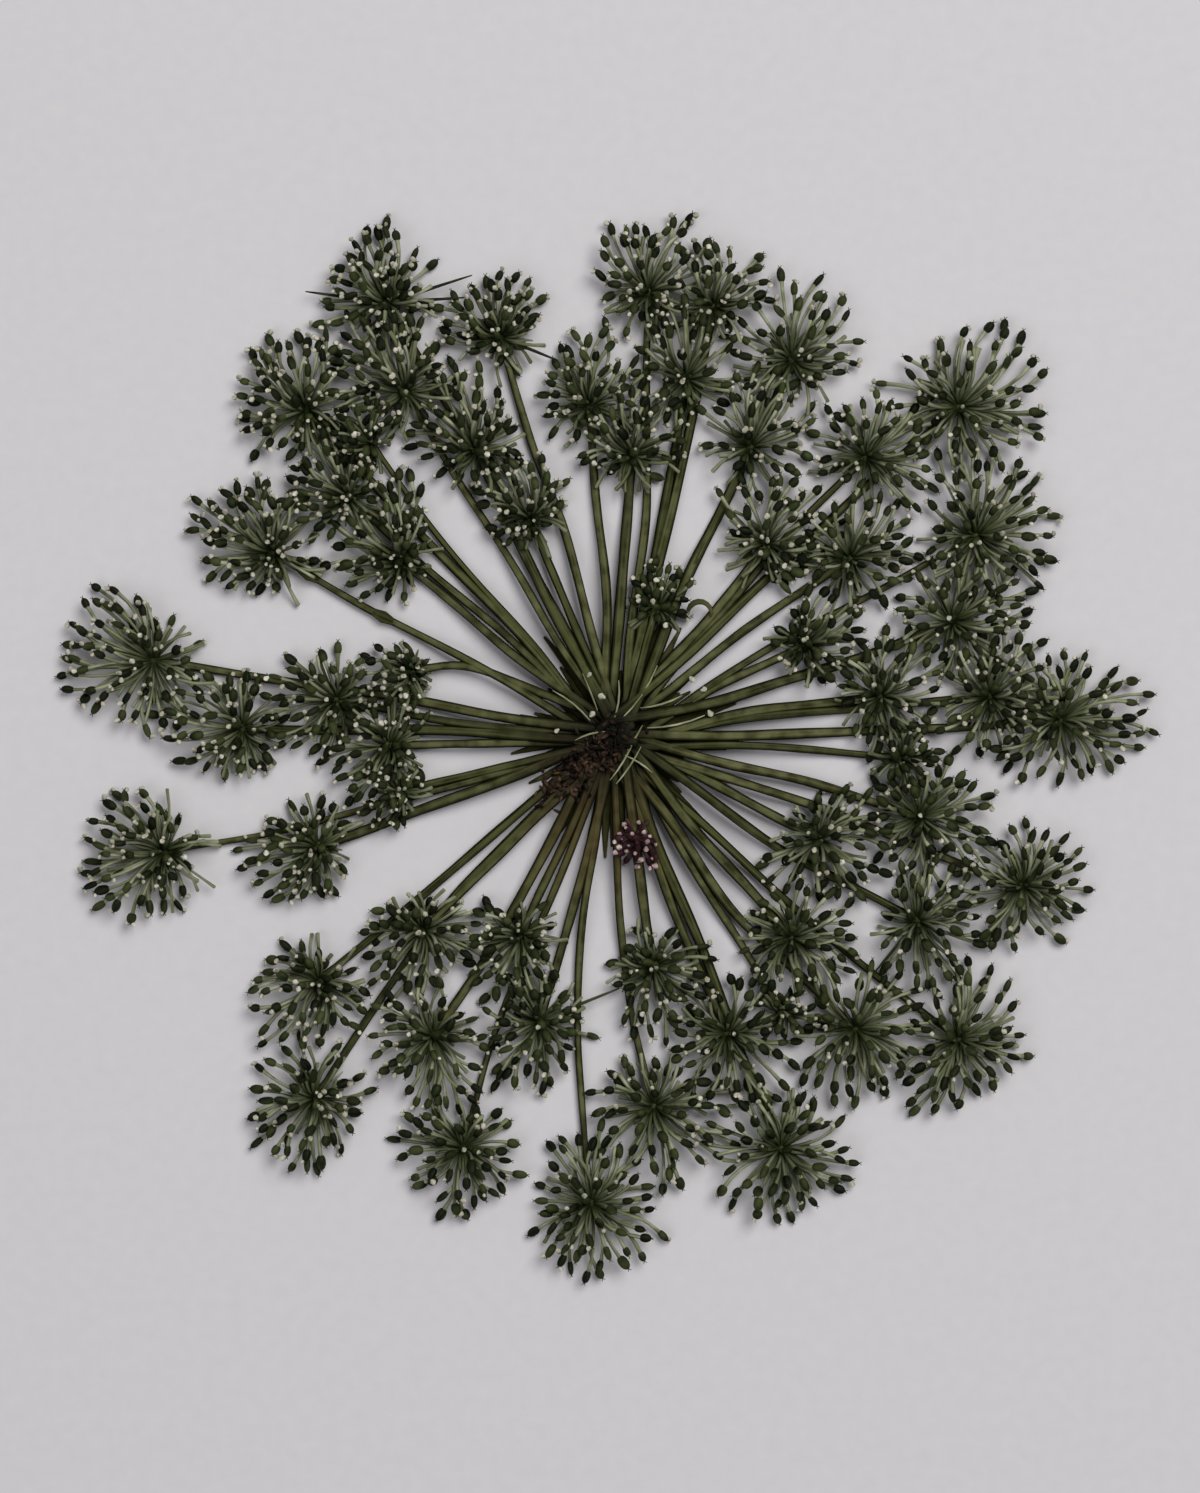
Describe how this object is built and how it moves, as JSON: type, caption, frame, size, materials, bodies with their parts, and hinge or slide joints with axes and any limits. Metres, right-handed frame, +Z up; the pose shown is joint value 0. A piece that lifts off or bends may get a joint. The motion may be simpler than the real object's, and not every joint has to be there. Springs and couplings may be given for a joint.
{
  "type": "queen annes lace flower",
  "caption": "Pressed and dried Queen Anne's lace head, lying face up: thin rays spread from a small hub, each ending in an umbellet of tiny dark florets.",
  "frame": {"origin": "middle of the flat cut underside of the hub, on the surface that the head lies on", "axes": "+Z up out of the face of the flower, +X and +Y in the plane of the head, +Y towards its top as it is seen in the picture"},
  "size_m": [0.0882, 0.0872, 0.0039],
  "materials": {
    "dried_stem": "dry olive green plant stalk, matt, finely grooved",
    "dried_florets": "dry, nearly black green ovaries on paler olive stalks, with cream petal remains",
    "purple_florets": "dry dark purple florets with pinkish cream specks"
  },
  "bodies": {
    "root": {"hub_and_rays": "dried_stem", "umbellet_01": "dried_florets", "umbellet_02": "dried_florets", "umbellet_03": "dried_florets", "umbellet_04": "dried_florets", "umbellet_05": "dried_florets", "umbellet_06": "dried_florets", "umbellet_07": "dried_florets", "umbellet_08": "dried_florets", "umbellet_09": "dried_florets", "umbellet_10": "dried_florets", "umbellet_11": "dried_florets", "umbellet_12": "dried_florets", "umbellet_13": "dried_florets", "umbellet_14": "dried_florets", "umbellet_15": "dried_florets", "umbellet_16": "dried_florets", "umbellet_17": "dried_florets", "umbellet_18": "dried_florets", "umbellet_19": "dried_florets", "umbellet_20": "dried_florets", "umbellet_21": "dried_florets", "umbellet_22": "dried_florets", "umbellet_23": "dried_florets", "umbellet_24": "dried_florets", "umbellet_25": "dried_florets", "umbellet_26": "dried_florets", "umbellet_27": "dried_florets", "umbellet_28": "dried_florets", "umbellet_29": "dried_florets", "umbellet_30": "dried_florets", "umbellet_31": "dried_florets", "umbellet_32": "dried_florets", "umbellet_33": "dried_florets", "umbellet_34": "dried_florets", "umbellet_35": "dried_florets", "umbellet_36": "dried_florets", "umbellet_37": "dried_florets", "umbellet_38": "dried_florets", "umbellet_39": "dried_florets", "umbellet_40": "dried_florets", "umbellet_41": "dried_florets", "umbellet_42": "dried_florets", "umbellet_43": "dried_florets", "umbellet_44": "dried_florets", "umbellet_45": "dried_florets", "umbellet_46": "dried_florets", "umbellet_47": "dried_florets", "umbellet_48": "dried_florets", "umbellet_49": "dried_florets", "umbellet_50": "dried_florets", "umbellet_51": "dried_florets", "umbellet_52": "dried_florets", "umbellet_53": "dried_florets", "umbellet_54": "dried_florets", "umbellet_55": "dried_florets", "umbellet_56": "dried_florets", "umbellet_57": "dried_florets", "central_umbellet": "purple_florets"}
  },
  "joints": []
}
